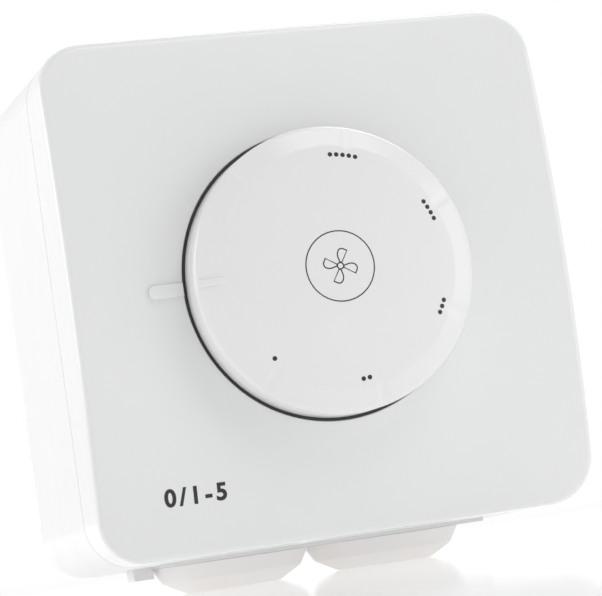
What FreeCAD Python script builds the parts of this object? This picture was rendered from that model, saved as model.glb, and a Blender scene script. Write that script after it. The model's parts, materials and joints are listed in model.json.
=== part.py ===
import FreeCAD, Part
import math
import os

# Surface-mounted rotary fan speed switch: off and five steps.
# Lengths are millimetres and angles are degrees. The model is drawn lying on its back:
# X is to the right, Y is up the wall and Z stands out of the wall, as seen from the front.
# Each piece is turned upright when it is written, so that the front faces -Y and +Z is up.

# Wall box and cover, outside
cover_side = 82.8           # outside width of the cover at its face's edge
side_draft = 1.0            # how much each side leans out between that edge and the wall
corner_radius = 7.6         # outside corners of box and cover
edge_height = 48.2          # wall to the face's top and bottom edge
arch_rise = 3.8             # how far the face bulges between its top and bottom edges
skirt_depth = 10.0          # side wall of the cover, from the face's edge to the parting line
cover_edge_round = 1.0      # rounding round the cover's face
cover_wall = 2.0
box_wall = 2.2
box_floor = 2.5

# Joint between box and cover
tongue_height = 3.0
tongue_wall = 1.4
tongue_clearance = 0.15
collar_height = 4.0         # thickened band inside the box, under the tongue
post_web_wall = 1.4         # web from each screw post to the side wall
least_corner = 0.5          # smallest corner that a thick wall leaves inside
gasket_height = 1.2
ledge_height = 1.4          # ring inside the cover that presses on the gasket

# Knob well in the cover
well_gap = 0.55             # knob's side to the well's wall
well_depth = 1.7            # face's edge to the top of the well's floor
well_floor_wall = 2.0
well_wall = 1.6
well_edge_chamfer = 0.15
cover_hole_gap = 0.3        # round the bush, in the well's floor
cover_rib_wall = 1.2

# Pointer on the cover, at nine o'clock
pointer_length = 5.6        # from the well's edge outwards
pointer_width = 2.1
pointer_rise = 0.7

# Knob
knob_radius = 22.85
knob_height = 10.5          # lower edge of the skirt to the middle of the face
knob_stand = 3.5            # well's floor to the lower edge of the skirt, inside the well
knob_wall = 1.9
bevel_width = 3.05          # from the rim in to the domed face
face_sag = 1.5              # fall of the dome from its middle to the bevel
bevel_fall = 0.9
bevel_edge_round = 1.1
skirt_draft = 0.05
notch_depth = 0.3           # of the grooves down the bevel, one at each step
notch_tool_radius = 2.8
index_length = 4.5
index_width = 1.15
index_rise = 0.3
hub_radius = 6.5
hub_slit = 1.2
hub_slit_depth = 4.0
knob_rib_wall = 1.2
knob_rib_count = 6
hub_rib_gap = 1.2           # space above the spring ring before the knob's ribs start

# Black ring under the knob
seal_wall = 1.6
seal_foot = 3.6
seal_foot_height = 1.4
seal_gap = 0.3

# Steps
position_count = 7          # places round the circle that the detent has
step_count = 5              # steps after off
step_angle = 360.0 / position_count

# Shaft, bush and nuts
shaft_radius = 3.0
shaft_flat = 0.7            # depth of the flat on the D
shaft_fit = 0.05            # radial running clearance of the shaft
shaft_tip_gap = 0.4         # end of the shaft to the bottom of the knob's bore
bore_roof = 0.6             # material left over the knob's bore, above the thin wall
hub_fit = 0.03
press_gap = 0.02            # spring rings to what they sit on
flat_run = 0.2              # each flat of the shaft past the piece that it drives
pivot_radius = 2.0
pivot_end_gap = 0.5         # pivot's end to the underside of the housing
bush_radius = 5.0
bush_fit = 0.1
bush_flange_width = 3.0
bush_flange_height = 1.5
nut_flats = 14.0
bush_nut_height = 3.0
washer_radius = 8.0
washer_height = 0.8
washer_teeth = 8
washer_tooth_depth = 0.9
cover_nut_height = 2.5
cover_seal_radius = 9.0
cover_seal_height = 0.8
bush_proud = 0.2            # bush above the cover's nut
clip_thickness = 0.6
clip_width = 2.2
clip_groove_depth = 0.6
clip_gap = 0.1
clip_mouth = 3.9            # opening of the clip
clip_tooth_angles = (60, 180, 300)
clip_relief_radius = 0.6
clip_relief_reach = 0.9     # middle of each relief outside the shaft
hub_gap = 0.6               # knob's hub above the shaft's clip
o_ring_section = 1.1
o_ring_flats = 8
gland_depth_gap = 0.05
gland_side_gap = 0.15
spring_ring_wall = 0.6
spring_ring_height = 3.0
spring_ring_gap_angle = 40.0
spring_ring_lift = 0.6      # ring above the end of the hub

# Strap that carries the switch
strap_drop = 10.5           # well's floor to the strap's underside
strap_wall = 1.2
strap_side_gap = 2.85       # ends of the strap to the box's mouth
strap_fold_gap = 0.8        # folded edges to the switch housing
strap_corner = 3.0
strap_flange = 4.5
strap_screw_margin = 5.0    # end of the strap to the middle of its screw
post_radius = 3.4
pilot_radius = 1.25
pilot_depth = 14.0
frame_screw_radius = 1.2
frame_screw_length = 12.0
frame_head_radius = 2.9
frame_head_height = 1.8
strap_slot_length = 7.0
strap_slot_gap = 0.4
strap_window = 7.0          # width of the windows beside the bush
strap_window_tall = 22.0
strap_window_corner = 1.0

# Switch housing
housing_wall = 1.6          # thinnest wall round the cavity
switch_corner = 3.0
switch_depth = 24.0         # lid and base together, behind the strap less the bush's flange
lid_height = 3.0
base_floor = 2.0
detent_room = 4.0           # round the rotor, for the leaf spring
housing_screw_inset = 3.4   # each corner screw from the housing's sides
housing_screw_radius = 1.1
housing_head_radius = 2.1
housing_head_height = 1.2
housing_screw_end_gap = 1.0
thread_gap = 0.05           # screws in their pilot holes
screw_clearance = 0.15      # screws in the holes of the piece that they hold
head_clearance = 0.2
block_reach = 11.5          # terminal block beyond the housing
block_height = 15.0
terminal_pitch = 12.0
channel_inner = 6.0         # where the contact channels start, from the middle
channel_end = 1.0           # block left beyond each contact channel

# Contacts and terminals
contact_inset = 1.4         # rotor's edge to the middle of the step contacts
contact_pad_radius = 2.4
contact_rise = 0.6          # pads above their strips
# Row above the housing and row below it, each from left to right
terminal_labels = ("step 1", "step 2", "step 3", "common", "step 5", "step 4")
strip_width = 3.0
strip_wall = 0.8
ring_gap = 1.6              # shaft to the common ring
ring_width = 2.8
clamp_width = 6.0
clamp_depth = 6.4
clamp_height = 7.6
clamp_wire_radius = 1.8
clamp_wire_height = 2.7     # middle of the wire's hole above the clamp's underside
elbow_reach = 11.0          # nearest bend of a contact strip to the middle
elbow_slope = 0.8
terminal_screw_radius = 1.3
terminal_head_radius = 2.0
terminal_head_height = 1.8
terminal_screw_length = 3.4
terminal_seat_gap = 0.9     # head of each terminal screw over its clamp
screw_slot_width = 0.6
screw_slot_depth = 0.7
terminal_access_gap = 0.3
channel_gap = 0.15

# Rotor, wiper, stop and detent
rotor_radius = 14.4
rotor_disc_height = 2.2
rotor_hub_wall = 2.6
wheel_height = 4.0
wheel_wall = 3.0
detent_depth = 0.9
detent_tool_radius = 2.0
stop_inner_gap = 1.9        # rotor's hub to the lid's stop block
stop_outer_gap = 0.4        # stop block to the inside of the rotor's wheel
stop_height = 3.0
stop_lug_angle = 40.0
stop_clearance_angle = 1.5
wiper_width = 4.6
wiper_wall = 0.6
wiper_gap = 0.3
wiper_height = 1.7          # bridge and its feet together
wiper_foot_tip = 0.8
wiper_foot_base = 1.2
running_gap = 0.4
spring_wall = 0.5
spring_height = 3.0
spring_end_gap = 0.2        # ends of the leaf to the housing's round wall
spring_nose_radius = 1.3
spring_nose_gap = 0.1

# Cable entries
entry_gap = 0.3             # between the two membranes
entry_radius = 13.45
entry_height = 15.7         # wall to the middle of each cable entry
entry_first_inset = 1.55
entry_first_step = 2.7
entry_second_inset = 3.8
entry_second_step = 2.1
entry_cover = 1.95          # membrane's rim over the edge of its hole
entry_hole_gap = 0.2
entry_skin = 1.1
entry_lip = 1.4
entry_pad_margin = 0.7
entry_seat_gap = 0.05

# Rear entry, for cables that come out of the wall
rear_entry_radius = 7.0
rear_entry_rise = 13.0      # its middle above the middle of the box
rear_entry_chamfer = 0.5

# Wall fixing and small foot
wall_screw_pitch = 60.0
wall_screw_radius = 2.25
wall_screw_boss_wall = 2.35
wall_screw_boss_height = 1.5
foot_width = 3.4
foot_drop = 1.6
foot_length = 6.0
foot_gap = 0.5

# Working lengths
past = 1.0                  # cutting shapes run this far past what they cut
sink = 0.5                  # joined shapes run this far into each other

# Sizes and places that follow from the ones above
back_side = cover_side + 2 * side_draft
well_radius = knob_radius + well_gap
well_floor_height = edge_height - well_depth
pointer_tip = well_radius + pointer_length
knob_lift = well_floor_height + knob_stand
knob_top = knob_lift + knob_height
face_radius = knob_radius - bevel_width
clip_radius = shaft_radius + clip_width
bush_flange_radius = bush_radius + bush_flange_width
cavity_radius = rotor_radius + detent_room
switch_side = 2 * (cavity_radius + housing_wall)
housing_screw_reach = switch_side / 2 - housing_screw_inset
block_width = 3 * terminal_pitch
contact_radius = rotor_radius - contact_inset
ring_inner = shaft_radius + ring_gap
ring_outer = ring_inner + ring_width
rotor_hub_radius = shaft_radius + rotor_hub_wall
stop_inner = rotor_hub_radius + stop_inner_gap
stop_outer = rotor_radius - wheel_wall - stop_outer_gap
entry_spacing = 2 * entry_radius + entry_gap
entry_hole_radius = entry_radius - entry_cover
wall_screw_boss = wall_screw_radius + wall_screw_boss_wall
strap_height = well_floor_height - strap_drop
strap_tall = switch_side + 2 * (strap_wall + strap_fold_gap)
parting = edge_height - skirt_depth
arch_top = edge_height + arch_rise
side_fall = (back_side - cover_side) / edge_height
arch_radius = ((cover_side / 2) ** 2 + arch_rise ** 2) / (2 * arch_rise)
tongue_top = parting + tongue_height
tongue_side = cover_side - 2 * cover_wall - 2 * tongue_clearance
mouth_side = tongue_side - 2 * tongue_wall
mouth_radius = corner_radius - cover_wall - tongue_wall
strap_width = mouth_side - 2 * strap_side_gap
screw_pitch = strap_width - 2 * strap_screw_margin
gasket_top = tongue_top + gasket_height
lid_top = strap_height - bush_flange_height
lid_bottom = lid_top - lid_height
base_bottom = lid_top - switch_depth
cavity_floor = base_bottom + base_floor
pad_top = cavity_floor + strip_wall + contact_rise
wiper_bottom = pad_top + wiper_gap
wiper_top = wiper_bottom + wiper_height
rotor_bottom = wiper_top
disc_top = rotor_bottom + rotor_disc_height
wheel_top = disc_top + wheel_height
stop_top = wheel_top + stop_height
strap_top = strap_height + strap_wall
bush_nut_bottom = strap_top + washer_height
cover_nut_bottom = well_floor_height + cover_seal_height
cover_nut_top = cover_nut_bottom + cover_nut_height
bush_top = cover_nut_top + bush_proud
clip_bottom = bush_top + clip_gap
hub_bottom = clip_bottom + clip_thickness + hub_gap
bore_top = knob_top - knob_wall - bore_roof
shaft_top = bore_top - shaft_tip_gap
seal_top = knob_lift - seal_gap
terminal_y = switch_side / 2 + block_reach / 2
clamp_bottom = cavity_floor + strip_wall
bevel_slope = bevel_fall / (knob_radius - bevel_edge_round - face_radius)

UP = FreeCAD.Vector(0, 0, 1)
ORIGIN = FreeCAD.Vector(0, 0, 0)


def vec(x, y, z=0.0):
    return FreeCAD.Vector(x, y, z)


def side_at(height):
    """Outside width of box and cover at a height above the wall."""
    return back_side - side_fall * height


def disc(radius, low, high, x=0.0, y=0.0):
    return Part.makeCylinder(radius, high - low, vec(x, y, low), UP)


def ring(outer, inner, low, high):
    return disc(outer, low, high).cut(disc(inner, low - past, high + past))


def block(x0, x1, y0, y1, z0, z1):
    return Part.makeBox(x1 - x0, y1 - y0, z1 - z0, vec(x0, y0, z0))


def rounded_outline(width, height, radius, z):
    """Closed outline of a rectangle with round corners, centred on the middle."""
    w, h = width / 2, height / 2
    bend = radius * (1 - math.sqrt(0.5))
    corners = [(w, h), (-w, h), (-w, -h), (w, -h)]
    edges = []
    for index, (x, y) in enumerate(corners):
        sx, sy = math.copysign(1, x), math.copysign(1, y)
        ends = [vec(x, y - sy * radius, z), vec(x - sx * radius, y, z)]
        if index % 2:
            ends.reverse()
        middle = vec(x - sx * bend, y - sy * bend, z)
        edges.append(Part.Arc(ends[0], middle, ends[1]).toShape())
        edges.append(ends)
    outline = []
    for index in range(0, len(edges), 2):
        following = edges[(index + 3) % len(edges)]
        outline.append(edges[index])
        outline.append(Part.makeLine(edges[index + 1][1], following[0]))
    return Part.Wire(outline)


def slab(width, height, radius, low, high):
    face = Part.Face(rounded_outline(width, height, radius, low))
    return face.extrude(vec(0, 0, high - low))


def drafted(inset, low, high):
    """Block that follows the box's drafted sides, inset from them all round."""
    radius = max(corner_radius - inset, least_corner)
    wires = []
    for height in (low, high):
        side = side_at(height) - 2 * inset
        wires.append(rounded_outline(side, side, radius, height))
    return Part.makeLoft(wires, True, True)


def arch(offset):
    """Solid below the arched front, moved out by an offset."""
    middle = vec(-back_side, 0, arch_top - arch_radius)
    barrel = Part.makeCylinder(arch_radius + offset, 2 * back_side, middle, vec(1, 0, 0))
    # A quarter turn keeps the barrel's seam off the crown, so that the face's edge can be rounded.
    barrel.rotate(middle, vec(1, 0, 0), 90)
    return barrel


def turned(points):
    """Solid of revolution about Z from a closed run of (radius, height) points."""
    wire = Part.makePolygon([vec(r, 0, z) for r, z in points] + [vec(points[0][0], 0, points[0][1])])
    return Part.Face(wire).revolve(ORIGIN, UP, 360)


def sector(outer, inner, low, high, start, sweep):
    """Part of a ring between two angles."""
    tube = Part.makeCylinder(outer, high - low, vec(0, 0, low), UP, sweep)
    tube.rotate(ORIGIN, UP, start)
    return tube.cut(disc(inner, low - past, high + past))


def at_angle(radius, angle):
    return radius * math.cos(math.radians(angle)), radius * math.sin(math.radians(angle))


def turn(shape, angle):
    copy = shape.copy()
    copy.rotate(ORIGIN, UP, angle)
    return copy


def prism(points, low, high):
    wire = Part.makePolygon([vec(x, y, low) for x, y in points] + [vec(points[0][0], points[0][1], low)])
    return Part.Face(wire).extrude(vec(0, 0, high - low))


def hexagon(flats, low, high):
    reach = flats / math.sqrt(3)
    return prism([at_angle(reach, 60 * k) for k in range(6)], low, high)


def d_rod(radius, flat, low, high):
    """Round rod with one flat, on its +X side."""
    far = 2 * radius
    return disc(radius, low, high).cut(block(radius - flat, far, -far, far, low - past, high + past))


def screw(x, y, seat, shank_radius, shank_length, head_radius, head_height):
    """Screw whose head sits on a seat and whose shank goes down from it."""
    head = disc(head_radius, seat, seat + head_height, x, y)
    return disc(shank_radius, seat - shank_length, seat, x, y).fuse(head)


def slotted(body, x, y, head_radius, head_top):
    slot = block(x - head_radius, x + head_radius, y - screw_slot_width / 2, y + screw_slot_width / 2,
                 head_top - screw_slot_depth, head_top + past)
    return body.cut(slot)


def mirrored_pairs(reach_x, reach_y):
    return [(sx * reach_x, sy * reach_y) for sx in (-1, 1) for sy in (-1, 1)]


def terminal_places():
    """Middle of each terminal: three above the housing, three below it, left to right."""
    return [(column * terminal_pitch, side * terminal_y) for side in (1, -1) for column in (-1, 0, 1)]


def front_cover():
    outer = drafted(0, parting, arch_top + arch_rise).common(arch(0))
    rim = [edge for edge in outer.Edges if edge.BoundBox.ZMin > edge_height - cover_edge_round]
    outer = outer.makeFillet(cover_edge_round, rim)
    outer = outer.cut(disc(well_radius, well_floor_height, arch_top + arch_rise))
    mouth = [edge for edge in outer.Edges
             if edge.BoundBox.ZMin > well_floor_height + well_edge_chamfer
             and edge.BoundBox.XMax < well_radius + past and edge.BoundBox.XMin > -well_radius - past
             and edge.BoundBox.YLength > well_radius and edge.BoundBox.XLength > well_radius / 2]
    outer = outer.makeChamfer(well_edge_chamfer, mouth)
    shell = outer.cut(drafted(cover_wall, parting - past, arch_top + arch_rise).common(arch(-cover_wall)))
    ledge = drafted(cover_wall / 2, gasket_top, gasket_top + ledge_height)
    opening = slab(mouth_side, mouth_side, mouth_radius, gasket_top - past, gasket_top + ledge_height + past)
    well_bottom = well_floor_height - well_floor_wall
    well = disc(well_radius + well_wall, well_bottom, arch_top).common(arch(-cover_wall / 2))
    well = well.cut(disc(well_radius, well_floor_height, arch_top))
    reach = cover_side / math.sqrt(2) - corner_radius
    ribs = []
    for index in range(4):
        rib = block(well_radius + well_wall / 2, reach, -cover_rib_wall / 2, cover_rib_wall / 2,
                    gasket_top, arch_top)
        ribs.append(turn(rib, 45 + 90 * index))
    inside = drafted(cover_wall / 2, parting, arch_top).common(arch(-cover_wall / 2))
    ribs = Part.makeCompound(ribs).common(inside)
    tip = pointer_tip - pointer_width / 2
    pointer = block(-tip, -well_radius + pointer_width, -pointer_width / 2, pointer_width / 2,
                    edge_height, arch_top + arch_rise)
    pointer = pointer.fuse(disc(pointer_width / 2, edge_height, arch_top + arch_rise, -tip, 0))
    pointer = pointer.common(arch(pointer_rise))
    pointer = pointer.cut(disc(well_radius, well_floor_height, arch_top + arch_rise))
    shell = shell.fuse([ledge.cut(opening), well, pointer] + ribs.Solids)
    hole = disc(bush_radius + cover_hole_gap, well_bottom - past, well_floor_height + past)
    # Coplanar faces stay split here: merging them spoils the rounded edge's surface.
    return shell.cut(hole)


def surface_box():
    body = drafted(0, 0, parting).cut(drafted(box_wall, box_floor, parting - collar_height))
    tongue = slab(tongue_side, tongue_side, corner_radius - cover_wall, parting - past, tongue_top)
    pad_half = entry_radius + entry_pad_margin
    pad_reach = entry_spacing / 2 + pad_half
    outer_y = -back_side / 2
    seat_y = outer_y + box_wall
    pad = block(-pad_reach, pad_reach, outer_y, seat_y, entry_height - pad_half, entry_height + pad_half)
    posts, bosses, webs = [], [], []
    for side in (-1, 1):
        x = side * screw_pitch / 2
        posts.append(disc(post_radius, box_floor - sink, strap_height, x, 0))
        bosses.append(disc(wall_screw_boss, box_floor - sink, box_floor + wall_screw_boss_height,
                           0, side * wall_screw_pitch / 2))
        near, far = sorted((x, side * (back_side / 2 - box_wall + sink)))
        webs.append(block(near, far, -post_web_wall / 2, post_web_wall / 2, box_floor - sink,
                          strap_height - collar_height))
    foot_x = -(entry_spacing / 2 + entry_radius + foot_gap)
    foot = block(foot_x - foot_width, foot_x, outer_y - foot_drop, seat_y,
                 entry_height - foot_length / 2, entry_height + foot_length / 2)
    body = body.fuse([tongue, pad, foot] + posts + bosses + webs)
    body = body.cut(block(-pad_reach, pad_reach, seat_y, seat_y + box_wall,
                          box_floor, entry_height + pad_half))
    mouth = slab(mouth_side, mouth_side, mouth_radius, parting - collar_height - past, tongue_top + past)
    body = body.cut(mouth.cut(Part.makeCompound(posts + webs)))
    for side in (-1, 1):
        body = body.cut(disc(pilot_radius, strap_height - pilot_depth, strap_height + past,
                             side * screw_pitch / 2, 0))
        body = body.cut(disc(wall_screw_radius, -past, box_floor + wall_screw_boss_height + past,
                             0, side * wall_screw_pitch / 2))
        start = vec(side * entry_spacing / 2, outer_y - past, entry_height)
        body = body.cut(Part.makeCylinder(entry_hole_radius, box_wall + 2 * past, start, vec(0, 1, 0)))
    body = body.cut(disc(rear_entry_radius, -past, box_floor + past, 0, rear_entry_rise))
    softened = Part.makeCone(rear_entry_radius, rear_entry_radius + rear_entry_chamfer, rear_entry_chamfer,
                             vec(0, rear_entry_rise, box_floor - rear_entry_chamfer), UP)
    return body.cut(softened).removeSplitter()


def cover_gasket():
    outer = slab(tongue_side, tongue_side, corner_radius - cover_wall, tongue_top, gasket_top)
    return outer.cut(slab(mouth_side, mouth_side, mouth_radius, tongue_top - past, gasket_top + past))


def cable_grommet(side):
    """Stepped rubber membrane; its axis points down, out of the box's bottom wall."""
    first = entry_radius - entry_first_inset
    last = first - entry_second_inset
    depth = entry_first_step + entry_second_step
    neck = entry_hole_radius - entry_hole_gap
    groove = box_wall + 2 * entry_seat_gap
    inside = neck - entry_skin
    lip = entry_radius - entry_skin
    profile = [
        (entry_radius, 0), (first, entry_first_step), (last, depth), (0, depth), (0, depth - entry_skin),
        (last - entry_skin / 2, depth - entry_skin), (inside, entry_first_step / 2),
        (inside, -groove - entry_lip), (lip, -groove - entry_lip), (lip, -groove), (neck, -groove), (neck, 0)]
    body = turned(profile)
    body.rotate(ORIGIN, vec(1, 0, 0), 90)
    body.translate(vec(side * entry_spacing / 2, -back_side / 2 - entry_seat_gap, entry_height))
    return body


def dome_height(radius):
    """Height of the knob's face at a distance from its middle."""
    ball = (face_radius ** 2 + face_sag ** 2) / (2 * face_sag)
    return knob_top - ball + math.sqrt(ball ** 2 - radius ** 2)


def knob_outside():
    """Solid below the knob's outside: domed face, bevel, round edge and skirt."""
    bevel_low = knob_top - face_sag - bevel_fall
    shoulder = knob_radius - bevel_edge_round
    turn_in = bevel_edge_round * (1 - math.sqrt(0.5))
    middle = face_radius / 2
    dome = Part.Arc(vec(0, 0, knob_top), vec(middle, 0, dome_height(middle)),
                    vec(face_radius, 0, knob_top - face_sag)).toShape()
    edge = Part.Arc(vec(shoulder, 0, bevel_low), vec(knob_radius - turn_in, 0, bevel_low - turn_in),
                    vec(knob_radius, 0, bevel_low - bevel_edge_round)).toShape()
    corners = [vec(knob_radius, 0, bevel_low - bevel_edge_round),
               vec(knob_radius + skirt_draft, 0, knob_lift), vec(0, 0, knob_lift), vec(0, 0, knob_top)]
    lines = [Part.makeLine(start, end) for start, end in zip(corners, corners[1:])]
    bevel = Part.makeLine(vec(face_radius, 0, knob_top - face_sag), vec(shoulder, 0, bevel_low))
    return Part.Face(Part.Wire([dome, bevel, edge] + lines)).revolve(ORIGIN, UP, 360)


def knob_inside(inset, low):
    """Solid with straight slopes that follows the knob's outside at an inset."""
    side = knob_radius - inset
    shoulder = side - bevel_edge_round
    bevel_low = knob_top - face_sag - bevel_fall - inset
    return turned([(0, knob_top - inset), (face_radius - inset * bevel_slope, knob_top - face_sag - inset),
                   (shoulder, bevel_low), (side, bevel_low - bevel_edge_round),
                   (side + skirt_draft, low), (0, low)])


def index_ridge():
    """Low ridge at nine o'clock: along the bevel, then fading into the domed face."""
    outer_end = knob_radius - bevel_edge_round / 2
    inner_end = outer_end - index_length
    low = knob_top - face_sag - bevel_fall - bevel_edge_round
    crest = knob_top - face_sag + index_rise
    outline = Part.makePolygon([
        vec(-outer_end, 0, low), vec(-outer_end, 0, crest - (outer_end - face_radius) * bevel_slope),
        vec(-face_radius, 0, crest), vec(-inner_end, 0, dome_height(inner_end)),
        vec(-inner_end, 0, low), vec(-outer_end, 0, low)])
    outline.translate(vec(0, -index_width / 2, 0))
    return Part.Face(outline).extrude(vec(0, index_width, 0))


def notch_tool(angle):
    """Round cutter that runs down the bevel, sunk into it by the notch's depth."""
    lean = math.atan(bevel_slope)
    lift = notch_tool_radius - notch_depth
    start = vec(face_radius - bevel_width + lift * math.sin(lean), 0,
                knob_top - face_sag + bevel_width * bevel_slope + lift * math.cos(lean))
    cutter = Part.makeCylinder(notch_tool_radius, 3 * bevel_width, start,
                               vec(math.cos(lean), 0, -math.sin(lean)))
    return turn(cutter, angle)


def knob():
    shell = knob_outside()
    hollow = knob_inside(knob_wall, knob_lift - past)
    hub = disc(hub_radius, hub_bottom, knob_top - knob_wall / 2)
    rib_low = hub_bottom + spring_ring_lift + spring_ring_height + hub_rib_gap
    ribs = []
    for index in range(knob_rib_count):
        rib = block(hub_radius / 2, knob_radius - knob_wall / 2, -knob_rib_wall / 2, knob_rib_wall / 2,
                    rib_low, knob_top)
        ribs.append(turn(rib, 360.0 / knob_rib_count * index))
    inside = knob_inside(knob_wall / 2, knob_lift)
    body = shell.cut(hollow).fuse([hub] + [rib.common(inside) for rib in ribs])
    bore = d_rod(shaft_radius + hub_fit, shaft_flat, hub_bottom - past, bore_top)
    slit = block(0, hub_radius + past, -hub_slit / 2, hub_slit / 2,
                 hub_bottom - past, hub_bottom + hub_slit_depth)
    body = body.cut([bore, turn(slit, 90), turn(slit, 270)])
    body = body.fuse(index_ridge())
    return body.cut([notch_tool(180 + step_angle * index)
                     for index in range(1, position_count)]).removeSplitter()


def knob_seal():
    """Black ring: a foot on the well's floor and a lip that stands under the knob's skirt."""
    outer = well_radius - seal_gap
    inner = outer - seal_wall
    groove = seal_wall / 2
    return turned([
        (outer, well_floor_height), (outer, seal_top - groove), (outer - groove / 2, seal_top),
        (inner, seal_top), (inner, well_floor_height + seal_foot_height),
        (outer - seal_foot, well_floor_height + seal_foot_height), (outer - seal_foot, well_floor_height)])


def hub_clip():
    low = hub_bottom + spring_ring_lift
    return sector(hub_radius + spring_ring_wall, hub_radius + press_gap, low, low + spring_ring_height,
                  spring_ring_gap_angle / 2, 360 - spring_ring_gap_angle)


def shaft():
    rod = disc(shaft_radius, wiper_bottom - wiper_gap, shaft_top)
    rod = rod.fuse(disc(pivot_radius, base_bottom + pivot_end_gap, wiper_bottom))
    groove = ring(2 * shaft_radius, shaft_radius - clip_groove_depth,
                  clip_bottom, clip_bottom + clip_thickness)
    flat, far = shaft_radius - shaft_flat, 2 * shaft_radius
    knob_flat = block(flat, far, -far, far, hub_bottom - flat_run, shaft_top + past)
    rotor_flat = block(flat, far, -far, far, rotor_bottom - flat_run, wheel_top + flat_run)
    return rod.cut([groove, knob_flat, rotor_flat]).removeSplitter()


def retaining_ring():
    low, high = clip_bottom + press_gap, clip_bottom + clip_thickness - press_gap
    body = ring(clip_radius, shaft_radius - clip_groove_depth + press_gap, low, high)
    cuts = [block(0, clip_radius + past, -clip_mouth / 2, clip_mouth / 2, low - past, high + past)]
    for angle in clip_tooth_angles:
        x, y = at_angle(shaft_radius + clip_relief_reach, angle)
        cuts.append(disc(clip_relief_radius, low - past, high + past, x, y))
    return body.cut(cuts).removeSplitter()


def shaft_o_ring():
    """Ring pressed into its gland, so its round section is drawn with flats."""
    minor = o_ring_section / 2
    middle = shaft_radius + shaft_fit + minor
    corner = 360.0 / o_ring_flats
    corners = [at_angle(minor, corner * (index + 0.5)) for index in range(o_ring_flats)]
    return turned([(middle + x, well_floor_height + y) for x, y in corners])


def threaded_bush():
    body = disc(bush_radius, lid_bottom, bush_top).fuse(disc(bush_flange_radius, lid_top, strap_height))
    bore = disc(shaft_radius + shaft_fit, lid_bottom - past, bush_top + past)
    half = o_ring_section / 2 + gland_side_gap
    gland = disc(shaft_radius + shaft_fit + o_ring_section + gland_depth_gap,
                 well_floor_height - half, well_floor_height + half)
    return body.cut([bore, gland]).removeSplitter()


def nut(low, high):
    return hexagon(nut_flats, low, high).cut(disc(bush_radius + bush_fit, low - past, high + past))


def lock_washer():
    points = []
    for index in range(2 * washer_teeth):
        reach = washer_radius if index % 2 else washer_radius - washer_tooth_depth
        middle = 180.0 / washer_teeth * index
        half_tooth = 45.0 / washer_teeth
        points += [at_angle(reach, middle - half_tooth), at_angle(reach, middle + half_tooth)]
    body = prism(points, strap_top, strap_top + washer_height)
    return body.cut(disc(bush_radius + bush_fit, strap_top - past, strap_top + washer_height + past))


def cover_nut_seal():
    return ring(cover_seal_radius, bush_radius + bush_fit, well_floor_height, cover_nut_bottom)


def mounting_frame():
    low, high = strap_height - past, strap_top + past
    body = slab(strap_width, strap_tall, strap_corner, strap_height, strap_top)
    for side in (-1, 1):
        y0, y1 = sorted((side * strap_tall / 2, side * (strap_tall / 2 - strap_wall)))
        body = body.fuse(block(-switch_side / 2, switch_side / 2, y0, y1,
                               strap_height - strap_flange, strap_top))
    cuts = [disc(bush_radius + bush_fit, low, high)]
    hole = frame_screw_radius + strap_slot_gap
    half_slot = strap_slot_length / 2 - frame_screw_radius
    for side in (-1, 1):
        x = side * screw_pitch / 2
        cuts += [block(x - hole, x + hole, -half_slot, half_slot, low, high),
                 disc(hole, low, high, x, -half_slot), disc(hole, low, high, x, half_slot)]
        window = slab(strap_window, strap_window_tall, strap_window_corner, low, high)
        window.translate(vec(side * (bush_flange_radius + strap_window), 0, 0))
        cuts.append(window)
    return body.cut(cuts).removeSplitter()


def frame_screws():
    screws = []
    for x in (-screw_pitch / 2, screw_pitch / 2):
        body = screw(x, 0, strap_top, frame_screw_radius, frame_screw_length,
                     frame_head_radius, frame_head_height)
        screws.append(slotted(body, x, 0, frame_head_radius, strap_top + frame_head_height))
    return Part.makeCompound(screws)


def switch_base():
    body = slab(switch_side, switch_side, switch_corner, base_bottom, lid_bottom)
    block_end = switch_side / 2 + block_reach
    for side in (-1, 1):
        y0, y1 = sorted((side * (switch_side / 2 - sink), side * block_end))
        body = body.fuse(block(-block_width / 2, block_width / 2, y0, y1,
                               base_bottom, base_bottom + block_height))
    cuts = [disc(cavity_radius, cavity_floor, lid_bottom + past),
            disc(pivot_radius + shaft_fit, base_bottom - past, cavity_floor + past)]
    screw_end = cavity_floor + housing_screw_end_gap
    for x, y in mirrored_pairs(housing_screw_reach, housing_screw_reach):
        cuts.append(disc(housing_screw_radius + thread_gap, screw_end, lid_bottom + past, x, y))
    half = clamp_width / 2 + terminal_access_gap / 2
    channel = strip_width / 2 + channel_gap
    for x, y in terminal_places():
        side = math.copysign(1, y)
        y0, y1 = sorted((y - side * (clamp_depth / 2 + terminal_access_gap), side * (block_end + past)))
        cuts.append(block(x - half, x + half, y0, y1, cavity_floor,
                          clamp_bottom + clamp_height + terminal_access_gap))
        y0, y1 = sorted((side * channel_inner, side * (block_end - channel_end)))
        cuts.append(block(x - channel, x + channel, y0, y1, cavity_floor, clamp_bottom + channel_gap))
        cuts.append(disc(terminal_head_radius + terminal_access_gap, cavity_floor + clamp_height,
                         base_bottom + block_height + past, x, y))
    return body.cut(cuts).removeSplitter()


def stop_sweep():
    """Angle that the lid's stop block takes: the circle less the travel, the lug and two clearances."""
    return 360 - step_count * step_angle - stop_lug_angle - 2 * stop_clearance_angle


def switch_lid():
    body = slab(switch_side, switch_side, switch_corner, lid_bottom, lid_top)
    start = 180 + stop_lug_angle / 2 + stop_clearance_angle
    stop = sector(stop_outer, stop_inner, wheel_top + running_gap, lid_bottom + sink, start, stop_sweep())
    cuts = [disc(bush_radius + bush_fit / 2, wheel_top, lid_top + past)]
    for x, y in mirrored_pairs(housing_screw_reach, housing_screw_reach):
        cuts.append(disc(housing_screw_radius + screw_clearance, lid_bottom - past, lid_top + past, x, y))
        cuts.append(disc(housing_head_radius + head_clearance, lid_top - housing_head_height,
                         lid_top + past, x, y))
    return body.fuse(stop).cut(cuts).removeSplitter()


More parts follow.
